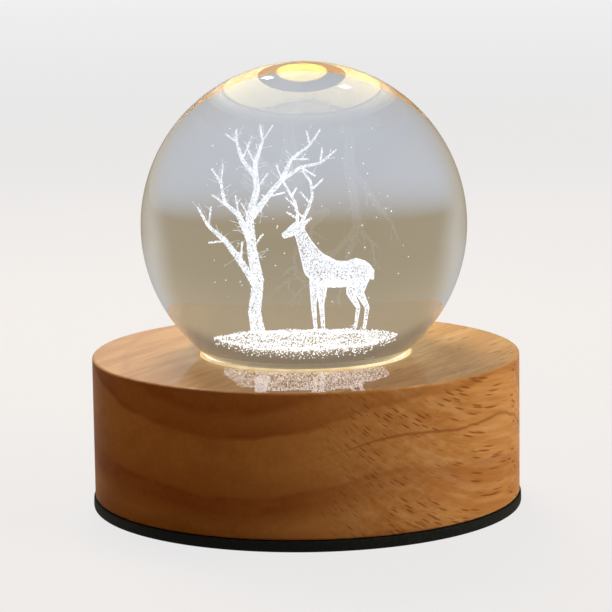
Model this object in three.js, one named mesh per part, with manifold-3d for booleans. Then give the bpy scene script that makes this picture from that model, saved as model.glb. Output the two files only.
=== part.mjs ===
// A night light: an engraved crystal ball that sits in a dish in a round turned-wood base, lit from below.
// Millimetres, +Z up. The origin is the middle of the underside. The front faces -Y, the socket and button +Y.
import * as THREE from 'three';
import { mergeVertices } from 'three/addons/utils/BufferGeometryUtils.js';
import Module from 'manifold-3d';

const wasm = await Module();
wasm.setup();

// Ball
const ballRadius = 30;
const ballWaterline = 18.4;       // radius of the ball where it passes the plane of the wood's top

// Laser engraving inside the ball: a stag and a bare tree on a snow drift
const engravingReach = 15;        // from the ball's centre to the tree's foot, and nearly to its top
const pinholeRadius = 0.3;        // a fine hole from the drift to the ball's foot, so the glass has one surface
const stagTurn = -32;             // degrees about its middle, seen from above

// Pad under the base
const padOverhang = 0.3;          // how far the pad reaches past the wood
const padThickness = 2;
const padEdgeRound = 0.4;

// Turned wood block
const glueLine = 0.1;             // between pad and wood
const woodRadius = 39.5;
const woodHeight = 26.15;
const woodTopRound = 0.5;
const woodFootRound = 0.4;
const dishGap = 0.5;              // between ball and dish
const lightBoreRadius = 12.2;
const pocketDepth = 13.9;         // from the wood's foot up to the round pocket's roof
const sideWall = 15.5;            // from the round pocket out to the side of the block
const channelDepth = 10.4;        // from the wood's foot up to the rear channel's roof
const rearWall = 7.5;             // from the channel's end out to the back of the block
const channelWidth = 30;

// Clearances
const fitGap = 0.3;
const stackGap = 0.2;             // between flat faces clamped on each other
const solderLine = 0.05;
const cutOverrun = 3;             // how far a cutter reaches past the face that it opens

// Silicone ring that the ball rests on
const ringOuterRadius = 19.2;
const ringWidth = 1.8;
const ringHeight = 1.85;

// Light cup and lens
const cupWall = 1.7;
const cupFlangeRadius = 16.8;
const cupFlangeThickness = 1.2;
const cupGap = 0.6;               // between ball and the cup's top
const ledgeWidth = 1;
const ledgeThickness = 0.8;
const lensRadius = 9.4;
const lensThickness = 1.5;        // in the middle
const lensGap = 0.45;             // between ball and the lens's hollow top
const lensEdgeRound = 0.3;

// Round board with its light-emitting chips
const ledBoardThickness = 1.6;
const ledCount = 4;
const ledRingRadius = 4.6;
const ledLength = 3.5;
const ledWidth = 2.8;
const ledHeight = 0.7;
const moduleScrewCircle = 14.7;   // radius of the circle that the two module screws stand on

// Screws
const moduleScrewRadius = 1;
const moduleScrewReach = 4;       // into the wood
const moduleHeadRadius = 2;
const moduleHeadHeight = 1.3;
const boardScrewRadius = 0.85;
const boardScrewReach = 4;
const boardHeadRadius = 1.7;
const boardHeadHeight = 1.1;
const screwSlotWidth = 0.5;
const screwSlotDepth = 0.5;

// Driver board
const boardWidth = 28.4;
const boardLength = 9.4;
const boardThickness = 1.2;
const boardScrewInset = 2;        // from the board's side and front edges

// Power socket
const socketX = -6.5;
const shellWidth = 8.94;
const shellHeight = 3.16;
const shellLength = 7.3;
const shellWall = 0.3;
const tongueWidth = 6.6;
const tongueThickness = 0.7;
const tongueSetBack = 0.6;
const plugBlockLength = 1.6;      // insulator at the back of the shell
const plugBlockGap = 0.1;
const socketWall = 1.6;           // wood left between the channel and the socket's recess
const recessWidth = 13;
const recessHeight = 7.4;
const recessCorner = 3.4;

// Push button and its switch
const buttonX = 6.5;
const capRadius = 3.5;
const capStand = 0.75;            // how far the cap's crown stands out of the wood
const capCrown = 0.5;
const buttonTravel = 0.7;
const stemRadius = 2.4;
const earSpan = 10.4;
const earHeight = 5;
const earThickness = 0.8;
const switchWidth = 7;
const switchLength = 6.4;
const switchWallFront = 1.9;      // from the switch's front face to the cap's ears
const plungerWidth = 2.4;
const plungerHeight = 1.6;
const plungerHold = 1;            // how deep the plunger sits in the switch
const plungerBore = 2.2;

// Small parts on the driver board
const chipLength = 4.9;
const chipWidth = 3.9;
const chipHeight = 1.5;
const chipFromFront = 3.4;
const capacitorRadius = 2;
const capacitorHeight = 5;
const capacitorEdgeRound = 0.3;
const capacitorX = -6.8;
const capacitorFromFront = 2.4;
const resistorLength = 2;
const resistorWidth = 1.25;
const resistorHeight = 0.5;
const resistorFromFront = 7.8;
const resistorPitch = 1.6;
const resistorX = 0.5;

// Wires between the boards
const wireRadius = 0.6;
const wireX = 3;                  // on both boards, from the middle plane
const wireFromRim = 3.2;          // from the round board's rim
const wireFromFront = 0.9;        // from the driver board's front edge
const wireSag = 3;                // how far a wire hangs below the driver board

// Facets
const baseSides = 80;
const ballSides = 48;
const ballRings = 24;
const limbSides = 6;
const twigSides = 4;
const tineSides = 3;
const driftSides = 14;
const driftRings = 4;
const ringSides = 64;
const cupSides = 48;
const smallSides = 20;
const wireSides = 8;
const wireSteps = 18;

// Sizes that follow the wood
const padRadius = woodRadius + padOverhang;
const pocketRadius = woodRadius - sideWall;

// Levels, from the table up
const woodFootZ = padThickness + glueLine;
const woodTopZ = woodFootZ + woodHeight;
const ballCentreZ = woodTopZ + Math.sqrt(ballRadius ** 2 - ballWaterline ** 2);
const ballFootZ = ballCentreZ - ballRadius;
const pocketRoofZ = woodFootZ + pocketDepth;
const cupFlangeTopZ = pocketRoofZ - stackGap;
const cupFootZ = cupFlangeTopZ - cupFlangeThickness;
const ledBoardTopZ = cupFootZ - stackGap;
const ledBoardFootZ = ledBoardTopZ - ledBoardThickness;
const lensTopZ = ballFootZ - lensGap;
const lensFootZ = lensTopZ - lensThickness;
const ledgeTopZ = lensFootZ - stackGap;
const channelRoofZ = woodFootZ + channelDepth;
const boardTopZ = channelRoofZ - stackGap;
const boardFootZ = boardTopZ - boardThickness;
const mountedTopZ = boardFootZ - solderLine;
const rearAxisZ = mountedTopZ - shellHeight / 2;

// Places along Y at the back
const channelEndY = woodRadius - rearWall;
const recessFloorY = channelEndY + socketWall;
const capCrownY = Math.sqrt(woodRadius ** 2 - buttonX ** 2) + capStand;
const earRearY = channelEndY - fitGap;
const earFrontY = earRearY - earThickness;
const switchFaceY = earFrontY - switchWallFront;
const boardRearY = earFrontY - buttonTravel - fitGap;
const boardFrontY = boardRearY - boardLength;

// Radii that fit each other
const cupOuterRadius = lightBoreRadius - fitGap;
const lensBoreRadius = lensRadius + fitGap;
const ledgeRadius = lensBoreRadius - ledgeWidth;
const cupInnerRadius = cupOuterRadius - cupWall;
const ringInnerRadius = ringOuterRadius - ringWidth;
const ringRebateRadius = ringOuterRadius + fitGap;
const lipRadius = ringInnerRadius - fitGap;

// Height of a sphere round the ball's centre, gap mm outside the ball, at a radius from the axis.
function underBall(radius, gap) {
  return ballCentreZ - Math.sqrt((ballRadius + gap) ** 2 - radius ** 2);
}
const ringTopZ = underBall(ringOuterRadius, fitGap);
const ringFootZ = ringTopZ - ringHeight;
const rebateFloorZ = ringFootZ - fitGap;

// A geometry with its shared vertices merged and its empty triangles dropped, as a solid that can be cut.
function solidOf(geometry) {
  const plain = new THREE.BufferGeometry();
  plain.setAttribute('position', geometry.getAttribute('position').clone());
  plain.setIndex(geometry.getIndex() ? geometry.getIndex().clone() : null);
  const merged = mergeVertices(plain);
  const corners = merged.getIndex().array;
  const kept = [];
  for (let i = 0; i < corners.length; i += 3) {
    const [a, b, c] = corners.slice(i, i + 3);
    if (a !== b && b !== c && c !== a) kept.push(a, b, c);
  }
  return new wasm.Manifold(new wasm.Mesh({
    numProp: 3,
    vertProperties: new Float32Array(merged.getAttribute('position').array),
    triVerts: new Uint32Array(kept),
  }));
}

function geometryOf(solid) {
  const mesh = solid.getMesh();
  const geometry = new THREE.BufferGeometry();
  geometry.setAttribute('position', new THREE.BufferAttribute(mesh.vertProperties, 3));
  geometry.setIndex(new THREE.BufferAttribute(mesh.triVerts, 1));
  geometry.computeVertexNormals();
  return geometry;
}

// A revolve about Z. The profile is a list of [radius, height], up its outer side and down its inner side.
function turned(profile, sides) {
  const points = profile.map(([radius, height]) => new THREE.Vector2(radius, height));
  return new THREE.LatheGeometry(points, sides).rotateX(Math.PI / 2);
}

// A revolve of a closed profile, as a ring is.
function turnedRing(profile, sides) {
  return turned([...profile, profile[0]], sides);
}

// Points of a quarter round in a profile, from one direction to another, in degrees about its centre.
function cornerArc(radius, height, size, fromDegrees, toDegrees, steps) {
  const points = [];
  for (let i = 0; i <= steps; i++) {
    const angle = THREE.MathUtils.degToRad(fromDegrees + (toDegrees - fromDegrees) * i / steps);
    points.push([radius + size * Math.cos(angle), height + size * Math.sin(angle)]);
  }
  return points;
}

// Points that follow the ball's underside at a gap, between two radii.
function ballArc(fromRadius, toRadius, gap, steps) {
  const points = [];
  for (let i = 0; i <= steps; i++) {
    const radius = fromRadius + (toRadius - fromRadius) * i / steps;
    points.push([radius, underBall(radius, gap)]);
  }
  return points;
}

function rod(radius, fromZ, toZ, sides) {
  return turned([[0, fromZ], [radius, fromZ], [radius, toZ], [0, toZ]], sides);
}

function roundedOutline(width, height, corner, target = new THREE.Shape()) {
  const x = width / 2;
  const y = height / 2;
  target.moveTo(-x + corner, -y);
  target.lineTo(x - corner, -y);
  target.absarc(x - corner, -y + corner, corner, -Math.PI / 2, 0);
  target.lineTo(x, y - corner);
  target.absarc(x - corner, y - corner, corner, 0, Math.PI / 2);
  target.lineTo(-x + corner, y);
  target.absarc(-x + corner, y - corner, corner, Math.PI / 2, Math.PI);
  target.lineTo(-x, -y + corner);
  target.absarc(-x + corner, -y + corner, corner, Math.PI, 1.5 * Math.PI);
  target.closePath();
  return target;
}

function extruded(shape, depth) {
  return new THREE.ExtrudeGeometry(shape, { depth, bevelEnabled: false, curveSegments: 4 });
}

// A box given by its ranges along X, Y and Z.
function block(x, y, z) {
  return new THREE.BoxGeometry(x[1] - x[0], y[1] - y[0], z[1] - z[0])
    .translate((x[0] + x[1]) / 2, (y[0] + y[1]) / 2, (z[0] + z[1]) / 2);
}

// Turns something built along +Z so that it points to the back, at a place across and a start along Y.
function facingBack(geometry, x, startY) {
  return geometry.rotateX(-Math.PI / 2).translate(x, startY, rearAxisZ);
}

const lamp = new THREE.Group();

function addPiece(name, shape, finish) {
  const geometry = shape instanceof THREE.BufferGeometry ? geometryOf(solidOf(shape)) : geometryOf(shape);
  const piece = new THREE.Mesh(geometry, new THREE.MeshStandardMaterial(finish));
  piece.name = name;
  lamp.add(piece);
  return piece;
}

// Finishes
const clearGlass = { color: 0xe8eef2, roughness: 0.02, metalness: 0, transparent: true, opacity: 0.35 };
const clearSilicone = { color: 0xfff0c8, roughness: 0.35, metalness: 0 };
const oiledWood = { color: 0xb57a42, roughness: 0.4, metalness: 0 };
const blackFoam = { color: 0x141512, roughness: 0.85, metalness: 0 };
const greyPlastic = { color: 0xa9abac, roughness: 0.4, metalness: 0 };
const frostedPlastic = { color: 0xfff4d2, roughness: 0.5, metalness: 0 };
const whiteBoard = { color: 0xe9e9e4, roughness: 0.45, metalness: 0 };
const greenBoard = { color: 0x1f5a38, roughness: 0.4, metalness: 0 };
const phosphor = { color: 0xf2c648, roughness: 0.4, metalness: 0 };
const blackPlastic = { color: 0x1c1c1e, roughness: 0.5, metalness: 0 };
const steel = { color: 0xb8babd, roughness: 0.3, metalness: 1 };
const redSleeve = { color: 0xa81f1a, roughness: 0.5, metalness: 0 };
const blackSleeve = { color: 0x1a1a1a, roughness: 0.5, metalness: 0 };

// Where the screws stand
const moduleScrewPlaces = [[moduleScrewCircle, 0], [-moduleScrewCircle, 0]];
const boardScrewX = boardWidth / 2 - boardScrewInset;
const boardScrewY = boardFrontY + boardScrewInset;
const boardScrewPlaces = [[boardScrewX, boardScrewY], [-boardScrewX, boardScrewY]];

// The engraving, in shares of its reach from the ball's centre. A limb's run is a list of [x, y, z, radius].
const stagBackShares = [
  [0.575, 0, -0.385, 0.05], [0.54, 0, -0.385, 0.095], [0.46, 0, -0.39, 0.118], [0.35, 0, -0.405, 0.104],
  [0.23, 0, -0.405, 0.108], [0.12, 0, -0.385, 0.13], [0.045, 0, -0.335, 0.118], [0, 0, -0.26, 0.086],
  [-0.05, 0, -0.17, 0.06], [-0.09, 0, -0.09, 0.048], [-0.11, 0, -0.035, 0.03],
];
const stagHeadShares = [
  [-0.065, 0, -0.03, 0.03], [-0.11, 0, -0.055, 0.05], [-0.165, 0, -0.085, 0.038], [-0.235, 0, -0.125, 0.022],
];
const stagTailShares = [[0.57, 0, -0.34, 0.02], [0.61, 0, -0.38, 0.025], [0.62, 0, -0.45, 0.01]];

// Front and hind leg, ear, antler and its three tines, on one side; the other side mirrors them
const stagSideShares = [
  [[0.085, 0.055, -0.38, 0.06], [0.07, 0.055, -0.52, 0.042], [0.06, 0.055, -0.65, 0.023],
    [0.075, 0.055, -0.83, 0.015], [0.055, 0.055, -0.9, 0.022]],
  [[0.485, 0.06, -0.36, 0.09], [0.43, 0.06, -0.56, 0.044], [0.51, 0.06, -0.685, 0.022],
    [0.485, 0.06, -0.83, 0.015], [0.465, 0.06, -0.9, 0.022]],
  [[-0.08, 0.03, -0.03, 0.018], [-0.05, 0.1, 0.01, 0.01]],
  [[-0.1, 0.02, -0.04, 0.014], [-0.065, 0.075, 0.075, 0.013], [-0.055, 0.13, 0.175, 0.011],
    [-0.095, 0.17, 0.275, 0.01], [-0.16, 0.16, 0.36, 0.007]],
  [[-0.08, 0.04, 0.02, 0.01], [-0.17, 0.06, 0.07, 0.007]],
  [[-0.06, 0.1, 0.125, 0.01], [-0.15, 0.115, 0.2, 0.007]],
  [[-0.075, 0.15, 0.22, 0.009], [0.005, 0.195, 0.305, 0.007]],
];
const stagPivotShare = 0.3;

// The snow drift: its middle's level, and its half length, half depth and half height
const driftLevelShare = -0.93;
const driftShares = [0.74, 0.4, 0.07];

// The tree's trunk and boughs, which bear a twig at each of their inner places but for the trunk's lowest
const treeBoughShares = [
  [[-0.36, 0.08, -0.95, 0.062], [-0.4, 0.06, -0.7, 0.05], [-0.37, 0.05, -0.45, 0.046],
    [-0.42, 0.03, -0.2, 0.04], [-0.44, 0.02, 0.06, 0.032], [-0.38, 0, 0.3, 0.026],
    [-0.4, -0.02, 0.52, 0.018], [-0.34, -0.02, 0.72, 0.012], [-0.36, 0, 0.87, 0.007]],
  [[-0.37, 0.05, -0.52, 0.03], [-0.5, 0.1, -0.3, 0.025], [-0.62, 0.12, -0.14, 0.02],
    [-0.76, 0.12, -0.02, 0.013], [-0.86, 0.1, 0.14, 0.007]],
  [[-0.42, 0.02, -0.16, 0.028], [-0.54, -0.06, 0.1, 0.022], [-0.66, -0.08, 0.2, 0.016],
    [-0.7, -0.08, 0.38, 0.011], [-0.78, -0.05, 0.5, 0.007]],
  [[-0.43, 0.02, 0.05, 0.028], [-0.3, -0.08, 0.25, 0.024], [-0.18, -0.12, 0.4, 0.019],
    [-0.1, -0.12, 0.58, 0.014], [0.06, -0.1, 0.7, 0.01], [0.15, -0.1, 0.84, 0.007]],
  [[-0.2, -0.12, 0.38, 0.016], [-0.02, -0.05, 0.49, 0.013], [0.14, 0, 0.51, 0.01], [0.28, 0.02, 0.62, 0.007]],
  [[-0.39, -0.01, 0.4, 0.022], [-0.5, 0.05, 0.54, 0.016], [-0.55, 0.08, 0.69, 0.011],
    [-0.56, 0.08, 0.8, 0.007]],
];
const bareTrunkCount = 3;
const twigLengthShare = 0.16;
const twigRadiusShare = 0.008;
const twigForkAngle = 0.75;            // radians from the bough
const twigSwingShare = 0.35;           // towards the front or the back

// A closed tube with a ring of corners round each place of its run, square to the way that the run goes there
function limb(run, sides) {
  const places = run.map(([x, y, z]) => new THREE.Vector3(x, y, z).multiplyScalar(engravingReach));
  const corners = [];
  places.forEach((place, i) => {
    const before = places[Math.max(i - 1, 0)];
    const after = places[Math.min(i + 1, run.length - 1)];
    const ahead = new THREE.Vector3().subVectors(after, before).normalize();
    const depth = new THREE.Vector3(0, 1, 0).projectOnPlane(ahead).normalize();
    const across = new THREE.Vector3().crossVectors(depth, ahead);
    for (let j = 0; j < sides; j++) {
      const angle = 2 * Math.PI * j / sides;
      const radius = run[i][3] * engravingReach;
      const corner = place.clone().addScaledVector(across, radius * Math.cos(angle));
      corners.push(...corner.addScaledVector(depth, radius * Math.sin(angle)));
    }
  });
  const faces = [];
  for (let i = 0; i < run.length - 1; i++) {
    for (let j = 0; j < sides; j++) {
      const next = (j + 1) % sides;
      const [a, b, c, d] = [i * sides + j, i * sides + next, (i + 1) * sides + next, (i + 1) * sides + j];
      faces.push(a, b, c, a, c, d);
    }
  }
  const last = (run.length - 1) * sides;
  for (let j = 1; j < sides - 1; j++) {
    faces.push(0, j + 1, j, last, last + j, last + j + 1);
  }
  const tube = new THREE.BufferGeometry();
  tube.setAttribute('position', new THREE.Float32BufferAttribute(corners, 3));
  tube.setIndex(faces);
  return tube;
}

function stag() {
  const middle = [stagBackShares, stagHeadShares, stagTailShares].map((run) => limb(run, limbSides));
  const paired = stagSideShares.flatMap((run) => {
    const sides = run.length > 2 ? twigSides : tineSides;
    return [limb(run, sides), limb(run.map(([x, y, z, radius]) => [x, -y, z, radius]), sides)];
  });
  const pivot = stagPivotShare * engravingReach;
  return [...middle, ...paired].map((shape) => shape.translate(-pivot, 0, 0)
    .rotateZ(THREE.MathUtils.degToRad(stagTurn)).translate(pivot, 0, 0));
}

// Twigs fork from a bough to its left and right in turn
function twigs(bough, firstPlace) {
  const made = [];
  for (let i = firstPlace; i < bough.length - 1; i++) {
    const side = i % 2 ? 1 : -1;
    const [x, y, z] = bough[i];
    const angle = Math.atan2(bough[i + 1][0] - x, bough[i + 1][2] - z) + side * twigForkAngle;
    const ahead = new THREE.Vector3(Math.sin(angle), side * twigSwingShare, Math.cos(angle));
    ahead.setLength(twigLengthShare);
    made.push([[x, y, z, twigRadiusShare], [x + ahead.x, y + ahead.y, z + ahead.z, twigRadiusShare]]);
  }
  return made;
}

function bareTree() {
  const boughs = treeBoughShares.map((run) => limb(run, twigSides));
  const growth = treeBoughShares.flatMap((bough, i) => twigs(bough, i ? 1 : bareTrunkCount));
  return [...boughs, ...growth.map((run) => limb(run, tineSides))];
}

function snowDrift() {
  const [length, depth, height] = driftShares.map((share) => share * engravingReach);
  return new THREE.SphereGeometry(1, driftSides, driftRings).rotateX(Math.PI / 2)
    .scale(length, depth, height).translate(0, 0, driftLevelShare * engravingReach);
}

// The ball, with the engraving as a hollow in the glass
function crystalBall() {
  const ball = solidOf(new THREE.SphereGeometry(ballRadius, ballSides, ballRings).rotateX(Math.PI / 2));
  const pinhole = rod(pinholeRadius, -ballRadius - cutOverrun, driftLevelShare * engravingReach, twigSides);
  const shapes = [snowDrift(), pinhole, ...stag(), ...bareTree()];
  return shapes.reduce((whole, shape) => whole.subtract(solidOf(shape)), ball);
}
addPiece('crystal_ball', crystalBall(), clearGlass).position.z = ballCentreZ;

// The ring that the ball rests on: its inner top side follows the ball
function seatRing() {
  return turnedRing([
    [ringInnerRadius, ringFootZ],
    [ringOuterRadius, ringFootZ],
    ...ballArc(ringOuterRadius, ringInnerRadius, fitGap, 3),
  ], ringSides);
}
addPiece('seat_ring', seatRing(), clearSilicone);

// The wood block: turned outside, with the dish, the ring's rebate and the bore for the light on top
function woodBlank() {
  const dishSteps = 5;
  return turnedRing([
    [lightBoreRadius, woodFootZ],
    ...cornerArc(woodRadius - woodFootRound, woodFootZ + woodFootRound, woodFootRound, -90, 0, 2),
    ...cornerArc(woodRadius - woodTopRound, woodTopZ - woodTopRound, woodTopRound, 0, 90, 4),
    [ringRebateRadius, woodTopZ],
    [ringRebateRadius, rebateFloorZ],
    [lipRadius, rebateFloorZ],
    ...ballArc(lipRadius, lightBoreRadius, dishGap, dishSteps),
  ], baseSides);
}

// What is milled out of the block from below: the round pocket and the channel to the back
function pocketCutter() {
  const round = solidOf(rod(pocketRadius, woodFootZ - cutOverrun, pocketRoofZ, cupSides));
  const halfWidth = channelWidth / 2;
  const channelZ = [woodFootZ - cutOverrun, channelRoofZ];
  return round.add(solidOf(block([-halfWidth, halfWidth], [0, channelEndY], channelZ)));
}

// The recess for a plug's grip, and the slot behind it that the socket's mouth fills
function socketCutter() {
  const recess = facingBack(extruded(roundedOutline(recessWidth, recessHeight, recessCorner),
    woodRadius + cutOverrun - recessFloorY), socketX, recessFloorY);
  const slotWidth = shellWidth + 2 * fitGap;
  const slotHeight = shellHeight + 2 * fitGap;
  const slot = facingBack(extruded(roundedOutline(slotWidth, slotHeight, slotHeight / 2),
    socketWall + 2 * fitGap), socketX, channelEndY - fitGap);
  return solidOf(recess).add(solidOf(slot));
}

function buttonCutter() {
  const hole = rod(capRadius + fitGap, 0, woodRadius + cutOverrun - channelEndY + fitGap, 2 * smallSides);
  return solidOf(facingBack(hole, buttonX, channelEndY - fitGap));
}

function screwCutter([x, y], radius, roofZ, reach) {
  return solidOf(rod(radius + fitGap, roofZ - fitGap, roofZ + reach + fitGap, smallSides).translate(x, y, 0));
}

function woodBase() {
  let wood = solidOf(woodBlank()).subtract(pocketCutter()).subtract(socketCutter()).subtract(buttonCutter());
  for (const place of moduleScrewPlaces) {
    wood = wood.subtract(screwCutter(place, moduleScrewRadius, pocketRoofZ, moduleScrewReach));
  }
  for (const place of boardScrewPlaces) {
    wood = wood.subtract(screwCutter(place, boardScrewRadius, channelRoofZ, boardScrewReach));
  }
  return wood;
}
addPiece('wood_base', woodBase(), oiledWood);

function basePad() {
  return turned([
    [0, 0],
    ...cornerArc(padRadius - padEdgeRound, padEdgeRound, padEdgeRound, -90, 0, 2),
    [padRadius, padThickness],
    [0, padThickness],
  ], baseSides);
}
addPiece('base_pad', basePad(), blackFoam);

// The cup that holds the lens in the bore. Its top follows the ball, its flange is screwed to the pocket's roof
function lightCup() {
  let cup = solidOf(turnedRing([
    [cupInnerRadius, cupFootZ],
    [cupFlangeRadius, cupFootZ],
    [cupFlangeRadius, cupFlangeTopZ],
    [cupOuterRadius, cupFlangeTopZ],
    ...ballArc(cupOuterRadius, lensBoreRadius, cupGap, 3),
    [lensBoreRadius, ledgeTopZ],
    [ledgeRadius, ledgeTopZ],
    [ledgeRadius, ledgeTopZ - ledgeThickness],
    [cupInnerRadius, ledgeTopZ - ledgeThickness],
  ], cupSides));
  for (const [x, y] of moduleScrewPlaces) {
    const hole = rod(moduleScrewRadius + fitGap, cupFootZ - fitGap, cupFlangeTopZ + fitGap, smallSides);
    cup = cup.subtract(solidOf(hole.translate(x, y, 0)));
  }
  return cup;
}
addPiece('light_cup', lightCup(), greyPlastic);

// The lens: flat below, its top hollowed to follow the ball, so that its light reaches the glass everywhere
function diffuserLens() {
  const rimRadius = lensRadius - lensEdgeRound;
  return turned([
    [0, lensFootZ],
    [lensRadius, lensFootZ],
    ...cornerArc(rimRadius, underBall(rimRadius, lensGap) - lensEdgeRound, lensEdgeRound, 0, 90, 2),
    ...ballArc(rimRadius, 0, lensGap, 3).slice(1),
  ], cupSides);
}
addPiece('diffuser_lens', diffuserLens(), frostedPlastic);

// The round board under the cup, held by the same two screws
function ledBoard() {
  let board = solidOf(rod(cupFlangeRadius, ledBoardFootZ, ledBoardTopZ, cupSides));
  for (const [x, y] of moduleScrewPlaces) {
    const hole = rod(moduleScrewRadius + fitGap, ledBoardFootZ - fitGap, ledBoardTopZ + fitGap, smallSides);
    board = board.subtract(solidOf(hole.translate(x, y, 0)));
  }
  return board;
}
addPiece('led_board', ledBoard(), whiteBoard);

function ledChip() {
  return block([-ledLength / 2, ledLength / 2], [-ledWidth / 2, ledWidth / 2], [0, ledHeight]);
}
for (let i = 0; i < ledCount; i++) {
  const angle = 2 * Math.PI * (i + 0.5) / ledCount;
  const chip = addPiece(`led_chip_${i + 1}`, ledChip(), phosphor);
  const place = [ledRingRadius * Math.cos(angle), ledRingRadius * Math.sin(angle), ledBoardTopZ + solderLine];
  chip.position.set(...place);
  chip.rotation.z = angle;
}

// A slotted pan-head screw that points up, with its head's top face at z = 0
function screw(radius, length, headRadius, headHeight) {
  const body = solidOf(turned([
    [0, -headHeight],
    ...cornerArc(headRadius - headHeight / 2, -headHeight / 2, headHeight / 2, -90, 0, 2),
    [headRadius, 0],
    [radius, 0],
    [radius, length - radius],
    [0, length],
  ], smallSides));
  const reach = headRadius + cutOverrun;
  const slotZ = [-headHeight - cutOverrun, -headHeight + screwSlotDepth];
  return body.subtract(solidOf(block([-reach, reach], [-screwSlotWidth / 2, screwSlotWidth / 2], slotZ)));
}
const moduleScrewLength = pocketRoofZ + moduleScrewReach - (ledBoardFootZ - stackGap);
moduleScrewPlaces.forEach(([x, y], i) => {
  const shape = screw(moduleScrewRadius, moduleScrewLength, moduleHeadRadius, moduleHeadHeight);
  addPiece(`module_screw_${i + 1}`, shape, steel).position.set(x, y, ledBoardFootZ - stackGap);
});
const boardScrewLength = channelRoofZ + boardScrewReach - (boardFootZ - stackGap);
boardScrewPlaces.forEach(([x, y], i) => {
  const shape = screw(boardScrewRadius, boardScrewLength, boardHeadRadius, boardHeadHeight);
  addPiece(`board_screw_${i + 1}`, shape, steel).position.set(x, y, boardFootZ - stackGap);
});

function driverBoard() {
  const halfWidth = boardWidth / 2;
  let board = solidOf(block([-halfWidth, halfWidth], [boardFrontY, boardRearY], [boardFootZ, boardTopZ]));
  for (const [x, y] of boardScrewPlaces) {
    const hole = rod(boardScrewRadius + fitGap, boardFootZ - fitGap, boardTopZ + fitGap, smallSides);
    board = board.subtract(solidOf(hole.translate(x, y, 0)));
  }
  return board;
}
addPiece('driver_board', driverBoard(), greenBoard);

// The power socket: an oblong steel shell, and the moulded block with its tongue inside it
function oblong(width, height, target) {
  return roundedOutline(width, height, height / 2, target);
}

function socketShell() {
  const outline = oblong(shellWidth, shellHeight);
  outline.holes.push(oblong(shellWidth - 2 * shellWall, shellHeight - 2 * shellWall, new THREE.Path()));
  return facingBack(extruded(outline, shellLength), socketX, recessFloorY - shellLength);
}
addPiece('socket_shell', socketShell(), steel);

function socketTongue() {
  const inset = 2 * (shellWall + plugBlockGap);
  const blockShape = extruded(oblong(shellWidth - inset, shellHeight - inset), plugBlockLength);
  const tongueLength = shellLength - tongueSetBack;
  const tongueShape = extruded(roundedOutline(tongueWidth, tongueThickness, tongueThickness / 4), tongueLength);
  const both = solidOf(blockShape).add(solidOf(tongueShape));
  return facingBack(geometryOf(both), socketX, recessFloorY - shellLength);
}
addPiece('socket_tongue', socketTongue(), blackPlastic);

// The push button: a round cap through the back wall, on a stem whose two ears keep it from falling out
function buttonCap() {
  const length = capCrownY - earFrontY;
  const shoulder = channelEndY + buttonTravel + fitGap - earFrontY;
  const cap = solidOf(turned([
    [0, 0],
    [stemRadius, 0],
    [stemRadius, shoulder],
    [capRadius, shoulder],
    ...cornerArc(capRadius - capCrown, length - capCrown, capCrown, 0, 90, 3),
    [0, length],
  ], 2 * smallSides));
  const ears = solidOf(block([-earSpan / 2, earSpan / 2], [-earHeight / 2, earHeight / 2], [0, earThickness]));
  return facingBack(geometryOf(cap.add(ears)), buttonX, earFrontY);
}
addPiece('button_cap', buttonCap(), blackPlastic);

function switchBody() {
  const halfWidth = switchWidth / 2;
  const body = block([buttonX - halfWidth, buttonX + halfWidth], [switchFaceY - switchLength, switchFaceY],
    [rearAxisZ - shellHeight / 2, mountedTopZ]);
  const halfBore = plungerWidth / 2 + fitGap;
  const boreZ = plungerHeight / 2 + fitGap;
  const bore = block([buttonX - halfBore, buttonX + halfBore],
    [switchFaceY - plungerBore, switchFaceY + cutOverrun], [rearAxisZ - boreZ, rearAxisZ + boreZ]);
  return solidOf(body).subtract(solidOf(bore));
}
addPiece('switch_body', switchBody(), blackPlastic);

function switchPlunger() {
  const halfWidth = plungerWidth / 2;
  return block([buttonX - halfWidth, buttonX + halfWidth], [switchFaceY - plungerHold, earFrontY - fitGap],
    [rearAxisZ - plungerHeight / 2, rearAxisZ + plungerHeight / 2]);
}
addPiece('switch_plunger', switchPlunger(), greyPlastic);

// Small parts soldered under the driver board
function driverChip() {
  return block([-chipWidth / 2, chipWidth / 2], [-chipLength / 2, chipLength / 2], [-chipHeight, 0]);
}
addPiece('driver_chip', driverChip(), blackPlastic).position.set(0, boardFrontY + chipFromFront, mountedTopZ);

function capacitor() {
  return turned([
    [0, -capacitorHeight],
    ...cornerArc(capacitorRadius - capacitorEdgeRound, capacitorEdgeRound - capacitorHeight, capacitorEdgeRound,
      -90, 0, 2),
    [capacitorRadius, 0],
    [0, 0],
  ], smallSides);
}
const capacitorPlace = [capacitorX, boardFrontY + capacitorFromFront, mountedTopZ];
addPiece('capacitor', capacitor(), steel).position.set(...capacitorPlace);

function resistor() {
  const x = resistorLength / 2;
  const y = resistorWidth / 2;
  return block([-x, x], [-y, y], [-resistorHeight, 0]);
}
for (let i = 0; i < 2; i++) {
  const piece = addPiece(`resistor_${i + 1}`, resistor(), blackPlastic);
  piece.position.set(resistorX, boardFrontY + resistorFromFront + (i - 0.5) * resistorPitch, mountedTopZ);
}

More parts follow.
